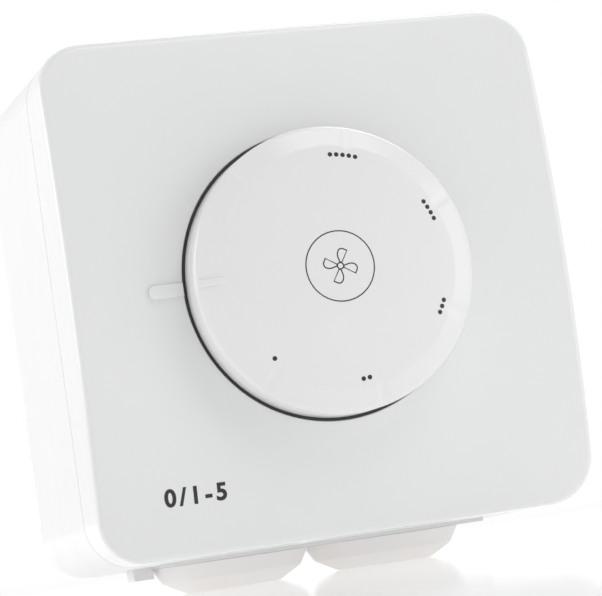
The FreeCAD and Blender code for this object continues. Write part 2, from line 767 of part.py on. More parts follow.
def housing_screws():
    length = lid_top - housing_head_height - cavity_floor - 2 * housing_screw_end_gap
    return Part.makeCompound([screw(x, y, lid_top - housing_head_height, housing_screw_radius, length,
                                    housing_head_radius, housing_head_height)
                              for x, y in mirrored_pairs(housing_screw_reach, housing_screw_reach)])


def rotor():
    body = disc(rotor_radius, rotor_bottom, disc_top)
    body = body.fuse([ring(rotor_radius, rotor_radius - wheel_wall, disc_top - sink, wheel_top),
                      disc(rotor_hub_radius, rotor_bottom, wheel_top),
                      sector(stop_outer, rotor_hub_radius - sink, disc_top - sink, stop_top,
                             180 - stop_lug_angle / 2, stop_lug_angle)])
    cuts = [d_rod(shaft_radius + hub_fit, shaft_flat, rotor_bottom - past, stop_top + past)]
    for index in range(position_count):
        x, y = at_angle(rotor_radius + detent_tool_radius - detent_depth, step_angle * index)
        cuts.append(disc(detent_tool_radius, disc_top, wheel_top + past, x, y))
    return body.cut(cuts).removeSplitter()


def wiper():
    """Contact bridge under the rotor: one foot over the common ring, one over the step contacts."""
    outer_end = contact_radius + wiper_foot_base
    plate = block(-outer_end, ring_outer, -wiper_width / 2, wiper_width / 2,
                  wiper_top - wiper_wall, wiper_top)
    plate = plate.fuse(disc(ring_outer, wiper_top - wiper_wall, wiper_top))
    feet = []
    for reach in ((ring_inner + ring_outer) / 2, contact_radius):
        feet.append(Part.makeCone(wiper_foot_tip, wiper_foot_base, wiper_top - wiper_wall / 2 - wiper_bottom,
                                  vec(-reach, 0, wiper_bottom), UP))
    hole = disc(shaft_radius + shaft_fit, wiper_bottom - past, wiper_top + past)
    return plate.fuse(feet).cut(hole).removeSplitter()


def detent_spring():
    """Flat leaf beside the rotor; its round nose sits in the notch on the rotor's +X side."""
    nose_x = rotor_radius - detent_depth + spring_nose_radius + spring_nose_gap
    face = nose_x + spring_nose_radius / 2
    low = disc_top + (wheel_height - spring_height) / 2
    half = math.sqrt((cavity_radius - spring_end_gap) ** 2 - (face + spring_wall) ** 2)
    leaf = block(face, face + spring_wall, -half, half, low, low + spring_height)
    nose = disc(spring_nose_radius, low, low + spring_height, nose_x, 0)
    keep = block(0, face + spring_wall, -switch_side, switch_side, low, low + spring_height)
    return leaf.fuse(nose.common(keep)).removeSplitter()


def strip(points, low, high):
    """Flat strip along a run of points, with round ends."""
    pieces = []
    for index, (x, y) in enumerate(points):
        pieces.append(disc(strip_width / 2, low, high, x, y))
        if index:
            px, py = points[index - 1]
            length = math.hypot(x - px, y - py)
            run = block(0, length, -strip_width / 2, strip_width / 2, low, high)
            run.rotate(ORIGIN, UP, math.degrees(math.atan2(y - py, x - px)))
            run.translate(vec(px, py, 0))
            pieces.append(run)
    return pieces[0].fuse(pieces[1:]).removeSplitter()


def contact_route(start_angle, start_radius, label):
    """From a contact to the far end of its terminal: out, then straight along Y."""
    x, y = at_angle(start_radius, start_angle)
    tx, ty = terminal_places()[terminal_labels.index(label)]
    side = math.copysign(1, ty)
    elbow_y = side * max(abs(y) + abs(tx - x) * elbow_slope, elbow_reach)
    return [(x, y), (tx, elbow_y), (tx, ty + side * (clamp_depth / 2 - strip_width / 2))]


def step_contact(number):
    angle = 180 - step_angle * number
    x, y = at_angle(contact_radius, angle)
    route = contact_route(angle, contact_radius, "step " + str(number))
    pad = disc(contact_pad_radius, cavity_floor, pad_top, x, y)
    return strip(route, cavity_floor, clamp_bottom).fuse(pad).removeSplitter()


def common_contact():
    angle = 180 + step_angle
    route = contact_route(angle, (ring_inner + ring_outer) / 2, "common")
    body = strip(route, cavity_floor, clamp_bottom).fuse(disc(ring_outer, cavity_floor, pad_top))
    return body.cut(disc(ring_inner, cavity_floor - past, pad_top + past)).removeSplitter()


def terminal_clamp(place):
    x, y = place
    body = block(x - clamp_width / 2, x + clamp_width / 2, y - clamp_depth / 2, y + clamp_depth / 2,
                 clamp_bottom, clamp_bottom + clamp_height)
    start = vec(x, y - clamp_depth / 2 - past, clamp_bottom + clamp_wire_height)
    wire_hole = Part.makeCylinder(clamp_wire_radius, clamp_depth + 2 * past, start, vec(0, 1, 0))
    screw_hole = disc(terminal_screw_radius + thread_gap, clamp_bottom + clamp_wire_height,
                      clamp_bottom + clamp_height + past, x, y)
    return body.cut([wire_hole, screw_hole])


def terminal_screws():
    seat = clamp_bottom + clamp_height + terminal_seat_gap
    return Part.makeCompound([screw(x, y, seat, terminal_screw_radius, terminal_screw_length,
                                    terminal_head_radius, terminal_head_height)
                              for x, y in terminal_places()])


def write(name, shape):
    upright = shape.copy()
    upright.rotate(ORIGIN, vec(1, 0, 0), 90)
    if not upright.isValid():
        print("invalid:", name)
    upright.exportStep("parts/" + name + ".step")
    print(name, len(upright.Solids), round(upright.Volume, 1))


os.makedirs("parts", exist_ok=True)
pieces = {
    "front_cover": front_cover(),
    "surface_box": surface_box(),
    "cover_gasket": cover_gasket(),
    "cable_grommet_left": cable_grommet(-1),
    "cable_grommet_right": cable_grommet(1),
    "knob": knob(),
    "knob_seal": knob_seal(),
    "hub_clip": hub_clip(),
    "shaft": shaft(),
    "retaining_ring": retaining_ring(),
    "shaft_o_ring": shaft_o_ring(),
    "threaded_bush": threaded_bush(),
    "bush_nut": nut(bush_nut_bottom, bush_nut_bottom + bush_nut_height),
    "lock_washer": lock_washer(),
    "cover_nut": nut(cover_nut_bottom, cover_nut_top),
    "cover_nut_seal": cover_nut_seal(),
    "mounting_frame": mounting_frame(),
    "frame_screws": frame_screws(),
    "switch_base": switch_base(),
    "switch_lid": switch_lid(),
    "housing_screws": housing_screws(),
    "rotor": rotor(),
    "wiper": wiper(),
    "detent_spring": detent_spring(),
    "common_contact": common_contact(),
    "terminal_screws": terminal_screws(),
}
for number in range(1, step_count + 1):
    pieces["step_contact_" + str(number)] = step_contact(number)
for number, place in enumerate(terminal_places(), 1):
    pieces["terminal_clamp_" + str(number)] = terminal_clamp(place)
for name, shape in pieces.items():
    write(name, shape)
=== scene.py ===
# %% [markdown]
# A wall switch that sets the speed of a fan: a square white box with a gently arched cover,
# a big round knob in a well, and two soft cable membranes underneath.
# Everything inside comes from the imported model, which is loaded first and never moved.
# The outer skin is modelled again here, because a moulded surface needs rounder edges
# and smoother shading than a faceted solid has.

# %% Load the fixed frame
import json
import math
import bmesh
import bpy
from mathutils import Matrix, Vector


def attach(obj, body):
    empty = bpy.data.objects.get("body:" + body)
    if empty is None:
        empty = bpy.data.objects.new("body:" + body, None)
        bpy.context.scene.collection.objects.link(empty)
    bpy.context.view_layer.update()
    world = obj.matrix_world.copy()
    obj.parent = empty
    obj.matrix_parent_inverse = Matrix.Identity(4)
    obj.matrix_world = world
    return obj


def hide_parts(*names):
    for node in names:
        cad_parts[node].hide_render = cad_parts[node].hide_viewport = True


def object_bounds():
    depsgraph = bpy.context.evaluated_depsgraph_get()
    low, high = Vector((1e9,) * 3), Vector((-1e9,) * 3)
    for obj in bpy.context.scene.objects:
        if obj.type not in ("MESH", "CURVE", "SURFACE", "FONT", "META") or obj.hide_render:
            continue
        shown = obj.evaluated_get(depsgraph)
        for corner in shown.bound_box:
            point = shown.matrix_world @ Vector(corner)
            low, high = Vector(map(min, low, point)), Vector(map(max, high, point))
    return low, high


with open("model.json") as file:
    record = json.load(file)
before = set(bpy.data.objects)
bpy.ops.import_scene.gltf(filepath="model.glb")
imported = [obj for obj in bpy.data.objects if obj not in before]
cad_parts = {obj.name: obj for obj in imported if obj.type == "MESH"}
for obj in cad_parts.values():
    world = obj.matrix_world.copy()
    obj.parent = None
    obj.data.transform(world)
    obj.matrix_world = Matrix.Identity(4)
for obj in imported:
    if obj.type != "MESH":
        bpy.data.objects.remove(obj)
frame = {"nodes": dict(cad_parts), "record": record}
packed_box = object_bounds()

# %% [markdown]
# Each outer piece is drawn lying on its back, in millimetres: X to the right, Y up the wall and
# Z out of the wall. That is how a moulding is usually drawn, and it makes every height easy to
# read. One matrix then stands the piece upright and turns millimetres into metres.
# A piece is shaded smooth, and only edges that turn sharply stay crisp.

# %% Helpers that finish a piece
MM = 0.001
STAND_UP = Matrix.Rotation(math.radians(90), 4, "X") @ Matrix.Scale(MM, 4)
SHARP_ANGLE = 32            # degrees that an edge turns before it stays crisp


def add_piece(mesh, name, body, material, stands_for=()):
    """Links a mesh as a piece that rides on a body and may stand for nodes of the frame."""
    piece = bpy.data.objects.new(name, mesh)
    bpy.context.scene.collection.objects.link(piece)
    mesh.materials.clear()
    mesh.materials.append(material)
    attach(piece, body)
    if stands_for:
        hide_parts(*stands_for)
    print(name, len(mesh.polygons), "faces")
    return piece


def shade(bm, sharp_angle):
    """Smooth faces everywhere, with edges that turn more than the angle kept crisp."""
    for face in bm.faces:
        face.smooth = True
    for edge in bm.edges:
        edge.smooth = edge.calc_face_angle(math.pi) < math.radians(sharp_angle)


def soften(bm, edges, offset, segments, clamp=False):
    """Rounds edges with an even bevel."""
    bmesh.ops.bevel(bm, geom=edges, offset=offset, segments=segments, profile=0.5, affect="EDGES",
                    material=-1, clamp_overlap=clamp)


def mesh_from(bm, name, sharp_angle=SHARP_ANGLE):
    """Merges, points outwards, shades and stands up a finished bmesh."""
    bmesh.ops.remove_doubles(bm, verts=bm.verts, dist=1e-4)
    bmesh.ops.recalc_face_normals(bm, faces=bm.faces)
    shade(bm, sharp_angle)
    bmesh.ops.transform(bm, matrix=STAND_UP, verts=bm.verts)
    mesh = bpy.data.meshes.new(name)
    bm.to_mesh(mesh)
    bm.free()
    return mesh


def even_normals(piece):
    """Lets large faces keep their own direction beside small rounded ones."""
    modifier = piece.modifiers.new("even_normals", "WEIGHTED_NORMAL")
    modifier.keep_sharp = True
    modifier.weight = 80


# %% [markdown]
# White plastic is never one flat white. The mould leaves a very fine grain, the gloss changes a
# little from place to place, and thick and thin walls differ slightly in tone. Three noise
# textures on Object coordinates give that: a broad one for the tone, a middle one for the gloss
# and a fine one for the bump. Object coordinates are in metres, so a scale is one over a size.

# %% Moulded plastic and rubber
NOISE_LOW, NOISE_HIGH = 0.3, 0.7    # most of a noise lies between these
TONE_SIZE = 0.03                    # metres, as the grain sizes below
GLOSS_SIZE = 0.006


def grain(nodes, links, place, size, detail=2.0):
    """Noise whose features are about as large as size, in metres."""
    noise = nodes.new("ShaderNodeTexNoise")
    noise.inputs["Scale"].default_value = 1.0 / size
    noise.inputs["Detail"].default_value = detail
    links.new(place.outputs["Object"], noise.inputs["Vector"])
    return noise


def ramp(nodes, links, source, low, high):
    """Turns a noise into a run between two colours."""
    blend = nodes.new("ShaderNodeValToRGB")
    blend.color_ramp.elements[0].position = NOISE_LOW
    blend.color_ramp.elements[1].position = NOISE_HIGH
    blend.color_ramp.elements[0].color = (*low, 1.0)
    blend.color_ramp.elements[1].color = (*high, 1.0)
    links.new(source.outputs["Fac"], blend.inputs["Fac"])
    return blend


def spread(nodes, links, source, low, high):
    """Turns a noise into a number between two limits."""
    span = nodes.new("ShaderNodeMapRange")
    span.inputs["From Min"].default_value = NOISE_LOW
    span.inputs["From Max"].default_value = NOISE_HIGH
    span.inputs["To Min"].default_value = low
    span.inputs["To Max"].default_value = high
    links.new(source.outputs["Fac"], span.inputs["Value"])
    return span


def finish(name, colour, tone, gloss, grain_size, grain_depth, metallic=0.0):
    """Material with a tone that wanders, a gloss that varies and a fine surface grain."""
    material = bpy.data.materials.new(name)
    material.use_nodes = True
    nodes, links = material.node_tree.nodes, material.node_tree.links
    shader = nodes["Principled BSDF"]
    shader.inputs["Metallic"].default_value = metallic
    place = nodes.new("ShaderNodeTexCoord")
    darker = [channel * (1 - tone) for channel in colour]
    tint = ramp(nodes, links, grain(nodes, links, place, TONE_SIZE), darker, colour)
    links.new(tint.outputs["Color"], shader.inputs["Base Color"])
    sheen = spread(nodes, links, grain(nodes, links, place, GLOSS_SIZE), *gloss)
    links.new(sheen.outputs["Result"], shader.inputs["Roughness"])
    bump = nodes.new("ShaderNodeBump")
    bump.inputs["Strength"].default_value = 0.6
    bump.inputs["Distance"].default_value = grain_depth
    links.new(grain(nodes, links, place, grain_size, 3.0).outputs["Fac"], bump.inputs["Height"])
    links.new(bump.outputs["Normal"], shader.inputs["Normal"])
    return material


COVER_WHITE = finish("cover_white", (0.795, 0.80, 0.80), 0.012, (0.20, 0.27), 0.0007, 0.000004)
KNOB_WHITE = finish("knob_white", (0.80, 0.803, 0.803), 0.012, (0.18, 0.25), 0.0007, 0.000004)
BOX_WHITE = finish("box_white", (0.81, 0.81, 0.81), 0.02, (0.30, 0.40), 0.0006, 0.000008)
GROMMET_WHITE = finish("grommet_white", (0.87, 0.85, 0.835), 0.02, (0.48, 0.6), 0.0005, 0.00001)
SEAL_BLACK = finish("seal_black", (0.02, 0.02, 0.022), 0.2, (0.42, 0.55), 0.0004, 0.00001)
PRINT_BLACK = finish("print_black", (0.012, 0.012, 0.014), 0.1, (0.3, 0.4), 0.0003, 0.000002)
print("outer finishes made")

# %% [markdown]
# Inside the box are zinc plated steel, bare brass, a dark housing and a pale carrier. They are
# hardly seen, but each still gets its own finish: rolled steel has long faint streaks, which a
# stretched noise gives, while brass is warmer and a little uneven.

# %% Metals and the switch's own plastics
STREAKS_PER_METRE = 120.0


def rolled(name, colour, gloss, streak):
    """Metal with streaks along X, as a rolled sheet has."""
    material = finish(name, colour, 0.12, gloss, 0.0005, 0.000006, metallic=1.0)
    nodes, links = material.node_tree.nodes, material.node_tree.links
    place = nodes["Texture Coordinate"]
    stretch = nodes.new("ShaderNodeMapping")
    stretch.inputs["Scale"].default_value = (1.0, streak, streak)
    links.new(place.outputs["Object"], stretch.inputs["Vector"])
    lines = nodes.new("ShaderNodeTexNoise")
    lines.inputs["Scale"].default_value = STREAKS_PER_METRE
    links.new(stretch.outputs["Vector"], lines.inputs["Vector"])
    sheen = spread(nodes, links, lines, *gloss)
    links.new(sheen.outputs["Result"], nodes["Principled BSDF"].inputs["Roughness"])
    return material


ZINC_STEEL = rolled("zinc_steel", (0.60, 0.61, 0.63), (0.25, 0.45), 18.0)
BRASS = finish("brass", (0.66, 0.50, 0.22), 0.15, (0.25, 0.4), 0.0006, 0.000006, metallic=1.0)
HOUSING_GREY = finish("housing_grey", (0.10, 0.10, 0.11), 0.15, (0.45, 0.6), 0.0005, 0.00001)
CARRIER_WHITE = finish("carrier_white", (0.62, 0.61, 0.57), 0.05, (0.4, 0.5), 0.0006, 0.00001)

slot_finish = {
    "cover_white": COVER_WHITE, "knob_white": KNOB_WHITE, "box_white": BOX_WHITE,
    "grommet_white": GROMMET_WHITE, "seal_black": SEAL_BLACK, "housing_grey": HOUSING_GREY,
    "carrier_white": CARRIER_WHITE, "zinc_steel": ZINC_STEEL, "brass": BRASS,
}
for entry in frame["record"]["subparts"]:
    mesh = frame["nodes"][entry["node"]].data
    mesh.materials.clear()
    mesh.materials.append(slot_finish[entry["material_slot"]])
print("inner finishes given to", len(frame["nodes"]), "nodes")

# %% [markdown]
# The cover is a square with round corners whose face bulges from top to bottom, like a sheet
# bent over a large drum, with a round well for the knob.
# A cube cut by a cylinder would leave long thin faces that shade badly. Here the round mouth of
# the well and the square outline are made with the same number of points and bridged, so that
# the face is one even ring of quads. The ring is divided and then laid on the drum.

# %% Sizes of the cover
COVER_SIDE = 82.8           # width at the face's edge
SIDE_DRAFT = 1.0            # how much each side leans out between that edge and the wall
CORNER_RADIUS = 7.6
EDGE_HEIGHT = 48.2          # wall to the face's top and bottom edge
ARCH_RISE = 3.8
PARTING_HEIGHT = 38.2       # wall to the joint between cover and box
WELL_RADIUS = 23.4
WELL_CHAMFER = 0.15
WELL_FLOOR = 46.5
DRUM_RADIUS = ((COVER_SIDE / 2) ** 2 + ARCH_RISE ** 2) / (2 * ARCH_RISE)
RING_POINTS = 192
FACE_CUTS = 13              # rings of the face between the well and the outline


def arch_height(y):
    """Height of the arched face above the wall."""
    return EDGE_HEIGHT + ARCH_RISE - DRUM_RADIUS + math.sqrt(DRUM_RADIUS ** 2 - y * y)


def wall_width(height):
    """Width of the drafted side walls at a height above the wall."""
    return COVER_SIDE + 2 * SIDE_DRAFT - 2 * SIDE_DRAFT * height / EDGE_HEIGHT


print("drum radius", round(DRUM_RADIUS, 1), "mm")


# %% Square outline with round corners
CORNER_CUTS = 16


def square_outline(bm, side, radius, height):
    """Closed run of edges with RING_POINTS points: a four-sided disc whose corners are bevelled."""
    made = bmesh.ops.create_circle(
        bm, cap_ends=True, segments=4, radius=side / math.sqrt(2),
        matrix=Matrix.Translation((0, 0, height)) @ Matrix.Rotation(math.radians(45), 4, "Z"))
    bmesh.ops.bevel(bm, geom=made["verts"], offset=radius, segments=CORNER_CUTS, profile=0.5,
                    affect="VERTICES", material=-1)
    face = max(bm.faces, key=lambda each: each.calc_area())
    sides = [edge for edge in face.edges if edge.calc_length() > side / 2]
    bmesh.ops.subdivide_edges(bm, edges=sides, cuts=RING_POINTS // 4 - CORNER_CUTS - 1)
    edges = list(face.edges)
    bmesh.ops.delete(bm, geom=[face], context="FACES_ONLY")
    return edges


trial = bmesh.new()
print("outline has", len(square_outline(trial, COVER_SIDE, CORNER_RADIUS, 0.0)), "edges")
trial.free()


# %% Arched face as an even ring of quads
def extruded(bm, edges, rise=0.0, reach=1.0):
    """Extrudes a closed run of edges, then lifts it and scales it about the middle."""
    made = bmesh.ops.extrude_edge_only(bm, edges=edges)["geom"]
    verts = [item for item in made if isinstance(item, bmesh.types.BMVert)]
    bmesh.ops.scale(bm, vec=(reach, reach, 1.0), verts=verts)
    bmesh.ops.translate(bm, vec=(0, 0, rise), verts=verts)
    return [item for item in made if isinstance(item, bmesh.types.BMEdge)], verts


def round_loop(bm, radius, height):
    """Closed run of edges in a circle, with RING_POINTS points."""
    made = bmesh.ops.create_circle(bm, cap_ends=False, segments=RING_POINTS, radius=radius,
                                   matrix=Matrix.Translation((0, 0, height)))
    return list({edge for vert in made["verts"] for edge in vert.link_edges})


cover = bmesh.new()
outline = square_outline(cover, COVER_SIDE, CORNER_RADIUS, EDGE_HEIGHT)
mouth = round_loop(cover, WELL_RADIUS + WELL_CHAMFER, EDGE_HEIGHT)
bridged = bmesh.ops.bridge_loops(cover, edges=outline + mouth)
rungs = [edge for edge in bridged["edges"] if edge not in outline and edge not in mouth]
bmesh.ops.subdivide_edges(cover, edges=rungs, cuts=FACE_CUTS, use_grid_fill=True)
for vert in cover.verts:
    vert.co.z = arch_height(vert.co.y)
open_edges = [edge for edge in cover.edges if edge.is_boundary]
rim = [edge for edge in open_edges if edge.verts[0].co.xy.length > COVER_SIDE * 0.45]
mouth = [edge for edge in open_edges if edge not in rim]
print("face:", len(cover.faces), "quads, rim", len(rim), "mouth", len(mouth))

# %% [markdown]
# From the face's rim the skin goes down the drafted side wall to the joint with the box, in
# under the wall and up inside. From the mouth it goes down the well's wall and over its floor
# to the hole for the bush. The two skins meet under the floor, which closes the piece.

# %% Side walls, well and underside
HOLE_RADIUS = 5.3
WALL = 2.0
UNDERSIDE = 44.5            # underside of the well's floor

down, verts = extruded(cover, rim)
for vert in verts:
    vert.co.z = PARTING_HEIGHT
bmesh.ops.scale(cover, vec=(wall_width(PARTING_HEIGHT) / COVER_SIDE,) * 2 + (1.0,), verts=verts)
inward, _ = extruded(cover, down, reach=1 - 2 * WALL / COVER_SIDE)
upward, _ = extruded(cover, inward, rise=UNDERSIDE - PARTING_HEIGHT)

chamfer, _ = extruded(cover, mouth, rise=-WELL_CHAMFER, reach=WELL_RADIUS / (WELL_RADIUS + WELL_CHAMFER))
well, verts = extruded(cover, chamfer)
for vert in verts:
    vert.co.z = WELL_FLOOR
floor_edge, _ = extruded(cover, well, reach=HOLE_RADIUS / WELL_RADIUS)
hole, _ = extruded(cover, floor_edge, rise=UNDERSIDE - WELL_FLOOR)
bmesh.ops.bridge_loops(cover, edges=upward + hole)
print("closed:", all(edge.is_manifold for edge in cover.edges))

# %% Round the rim and finish the cover
RIM_ROUND = 1.0
PARTING_ROUND = 0.25
soften(cover, rim, RIM_ROUND, 6, clamp=True)
lower_edge = [edge for edge in cover.edges
              if all(vert.co.z < PARTING_HEIGHT + 0.01 for vert in edge.verts)
              and edge.verts[0].co.xy.length > COVER_SIDE * 0.49]
soften(cover, lower_edge, PARTING_ROUND, 2)
cover_piece = add_piece(mesh_from(cover, "cover_skin"), "cover_skin", "housing",
                        COVER_WHITE, ["front_cover"])
even_normals(cover_piece)

# %% [markdown]
# A short raised bar on the cover points at the knob's ridge. It is a small block whose outer
# end is fully round and whose top edges are softened, sunk a little into the face.

# %% Pointer bar
POINTER_TIP = 29.0
POINTER_WIDTH = 2.1
POINTER_RISE = 0.7
POINTER_SINK = 0.8          # how far the bar reaches down into the cover
POINTER_Y = 0.1


def bar(x0, x1, width, low, high):
    """Block along X, centred on Y = 0."""
    bm = bmesh.new()
    middle = Matrix.Translation(((x0 + x1) / 2, 0, (low + high) / 2))
    bmesh.ops.create_cube(bm, size=1.0, matrix=middle @ Matrix.Diagonal((x1 - x0, width, high - low, 1)))
    return bm


pointer_top = arch_height(0) + POINTER_RISE
pointer = bar(-POINTER_TIP, -WELL_RADIUS - 0.05, POINTER_WIDTH, arch_height(0) - POINTER_SINK, pointer_top)
upright_ends = [edge for edge in pointer.edges
                if all(vert.co.x < -POINTER_TIP + 0.01 for vert in edge.verts)
                and abs(edge.verts[0].co.z - edge.verts[1].co.z) > 0.5]
soften(pointer, upright_ends, 0.85, 8)
top = [edge for edge in pointer.edges if all(vert.co.z > pointer_top - 0.01 for vert in edge.verts)]
soften(pointer, top, 0.3, 4)
bmesh.ops.translate(pointer, vec=(0, POINTER_Y, 0), verts=pointer.verts)
add_piece(mesh_from(pointer, "pointer_bar", 45), "pointer_bar", "housing", COVER_WHITE)

# %% [markdown]
# The knob is turned work: one half section spun about the axis. A full spin welds its ends. The
# section is a short run of points, closer together where the face meets its bevel, and the edges
# are rounded afterwards. At each step a shallow round groove runs down the bevel. A groove is
# pressed in by lowering each point that lies above the round tool that would cut it.

# %% Sizes of the knob
KNOB_RADIUS = 22.85
SKIRT_DRAFT = 0.05
KNOB_TOP = 60.5
KNOB_LIFT = 50.0            # wall to the lower edge of the skirt, inside the well
FACE_RADIUS = 19.4
FACE_SAG = 1.5
BEVEL_FALL = 0.9
KNOB_WALL = 1.9
HUB_RADIUS = 6.5
HUB_BOTTOM = 51.3
BORE_RADIUS = 3.03
BORE_TOP = 58.0
FACE_SPHERE = (FACE_RADIUS ** 2 + FACE_SAG ** 2) / (2 * FACE_SAG)


def face_height(radius):
    """Height of the knob's domed face at a distance from its middle."""
    return KNOB_TOP - FACE_SPHERE + math.sqrt(FACE_SPHERE ** 2 - radius ** 2)


def spun(section, steps):
    """Spins a run of (radius, height) points about Z. Points on the axis close the ends."""
    bm = bmesh.new()
    verts = [bm.verts.new((radius, 0.0, height)) for radius, height in section]
    edges = [bm.edges.new(pair) for pair in zip(verts, verts[1:])]
    bmesh.ops.spin(bm, geom=verts + edges, cent=(0, 0, 0), axis=(0, 0, 1),
                   angle=math.radians(360), steps=steps, use_merge=True)
    bmesh.ops.remove_doubles(bm, verts=bm.verts, dist=1e-4)
    return bm


def loop_at(bm, radius, height):
    """Edges that run round the axis at one radius and height."""
    def near(vert):
        return abs(vert.co.xy.length - radius) < 0.02 and abs(vert.co.z - height) < 0.02
    return [edge for edge in bm.edges if near(edge.verts[0]) and near(edge.verts[1])]


print("face sphere", round(FACE_SPHERE, 1), "mm")

# %% Spin the knob and round its edges
KNOB_STEPS = 504
EDGE_ROUND = 1.1
FACE_EDGE_ROUND = 0.15
shoulder = KNOB_TOP - FACE_SAG - BEVEL_FALL
bevel_slope = BEVEL_FALL / (KNOB_RADIUS - EDGE_ROUND - FACE_RADIUS)


def bevel_height(radius):
    """Height of the straight bevel, also where it would run on past its ends."""
    return KNOB_TOP - FACE_SAG - (radius - FACE_RADIUS) * bevel_slope


dome_radii = [2.2 * ring for ring in range(8)] + [17.4, 17.9, 18.3, 18.7, 19.05, FACE_RADIUS]
bevel_radii = [19.9, 20.4, 20.9, 21.4, KNOB_RADIUS]
knob = spun(
    [(radius, face_height(radius)) for radius in dome_radii]
    + [(radius, bevel_height(radius)) for radius in bevel_radii]
    + [(KNOB_RADIUS + SKIRT_DRAFT, KNOB_LIFT), (KNOB_RADIUS - KNOB_WALL, KNOB_LIFT),
       (KNOB_RADIUS - KNOB_WALL, shoulder - KNOB_WALL), (HUB_RADIUS, shoulder - KNOB_WALL + 0.6),
       (HUB_RADIUS, HUB_BOTTOM), (BORE_RADIUS, HUB_BOTTOM), (BORE_RADIUS, BORE_TOP), (0.0, BORE_TOP)],
    KNOB_STEPS)
soften(knob, loop_at(knob, KNOB_RADIUS, bevel_height(KNOB_RADIUS)), EDGE_ROUND * 0.7, 7)
soften(knob, loop_at(knob, FACE_RADIUS, face_height(FACE_RADIUS)), FACE_EDGE_ROUND, 2)
print("knob:", len(knob.faces), "faces, closed:", all(edge.is_manifold for edge in knob.edges))

# %% Press in the grooves and add the knob
STEP_COUNT = 7
STEP_ANGLE = 360 / STEP_COUNT
RIDGE_ANGLE = 180           # the index ridge stands where the seventh groove would be
NOTCH_DEPTH = 0.12
NOTCH_TOOL = 5.0            # radius of the round tool
lean = math.atan(bevel_slope)
for vert in knob.verts:
    radius = vert.co.xy.length
    if radius < FACE_RADIUS - 2 or vert.co.z < shoulder - EDGE_ROUND:
        continue
    step = round((math.degrees(math.atan2(vert.co.y, vert.co.x)) - RIDGE_ANGLE) / STEP_ANGLE)
    if step % STEP_COUNT == 0:
        continue
    groove = math.radians(RIDGE_ANGLE + step * STEP_ANGLE)
    along = vert.co.xy.dot(Vector((math.cos(groove), math.sin(groove))))
    aside = math.sqrt(max(radius ** 2 - along ** 2, 0.0))
    if aside > NOTCH_TOOL / 2:
        continue
    cut = NOTCH_DEPTH - NOTCH_TOOL + math.sqrt(NOTCH_TOOL ** 2 - aside ** 2)
    above = (vert.co.z - bevel_height(along)) * math.cos(lean) + cut
    if above > 0:
        vert.co.z -= above / math.cos(lean)
add_piece(mesh_from(knob, "knob_skin", 24), "knob_skin", "knob_group", KNOB_WHITE, ["knob"])

# %% [markdown]
# The ridge beside the knob's rim shows the step that is set. It runs in along the bevel at an
# even height and then fades into the domed face, so its side view is drawn and pulled to width.

# %% Index ridge
INDEX_OUTER = KNOB_RADIUS - EDGE_ROUND / 2
INDEX_LENGTH = 4.5
INDEX_INNER = INDEX_OUTER - INDEX_LENGTH
INDEX_WIDTH = 1.15
INDEX_RISE = 0.3
index = bmesh.new()
side_view = [(INDEX_OUTER, shoulder - EDGE_ROUND), (INDEX_OUTER, bevel_height(INDEX_OUTER) + INDEX_RISE),
             (FACE_RADIUS, bevel_height(FACE_RADIUS) + INDEX_RISE), (INDEX_INNER, face_height(INDEX_INNER)),
             (INDEX_INNER, shoulder - EDGE_ROUND)]
face = index.faces.new([index.verts.new((-radius, -INDEX_WIDTH / 2, height)) for radius, height in side_view])
pulled = bmesh.ops.extrude_face_region(index, geom=[face])["geom"]
bmesh.ops.translate(index, vec=(0, INDEX_WIDTH, 0),
                    verts=[item for item in pulled if isinstance(item, bmesh.types.BMVert)])
crest = [edge for edge in index.edges
         if all(vert.co.z > shoulder - 0.2 for vert in edge.verts)
         and (abs(edge.verts[0].co.x - edge.verts[1].co.x) > 1
              or all(vert.co.x < -INDEX_OUTER + 0.01 for vert in edge.verts))]
soften(index, crest, 0.22, 4)
add_piece(mesh_from(index, "index_ridge", 45), "index_ridge", "knob_group", KNOB_WHITE)

# %% [markdown]
# A soft black ring stands in the well under the knob's skirt and keeps water out. Its thin outer
# lip closes the gap between the skirt and the well's wall and ends level with the arched face.
# From the front it is only a dark line, but it is what makes the knob look set into the cover.

# %% Black ring in the well
RING_OUTER = 23.1
RING_TOP = 49.7
RING_BOTTOM = WELL_FLOOR + 0.02
RING_INNER = RING_OUTER - 1.6
FOOT_INNER = RING_OUTER - 3.6
FOOT_TOP = WELL_FLOOR + 1.4
LIP_OUTER = 23.33
LIP_INNER = 22.98
LIP_RISE = 1.0              # of the lip as it is spun, before its top follows the arch
LIP_SINK = 0.1              # top of the lip under the arched face
seal = spun([(RING_OUTER, RING_BOTTOM), (RING_OUTER, RING_TOP - 1.0), (LIP_OUTER, RING_TOP),
             (LIP_OUTER, RING_TOP + LIP_RISE), (LIP_INNER, RING_TOP + LIP_RISE), (LIP_INNER, RING_TOP),
             (RING_INNER, RING_TOP), (RING_INNER, FOOT_TOP), (FOOT_INNER, FOOT_TOP),
             (FOOT_INNER, RING_BOTTOM), (RING_OUTER, RING_BOTTOM)], RING_POINTS)
for vert in seal.verts:
    if vert.co.z > RING_TOP + LIP_RISE / 2:
        vert.co.z = arch_height(vert.co.y) - LIP_SINK
add_piece(mesh_from(seal, "sealing_ring"), "sealing_ring", "housing", SEAL_BLACK, ["knob_seal"])

# %% [markdown]
# The box's solid already has the right walls, bosses and holes, so its mesh is copied. The
# copy's loose triangles are merged, flat areas are dissolved into whole faces, and the corners
# are shaded smooth. Large faces keep their own normals, so the flat walls stay flat.

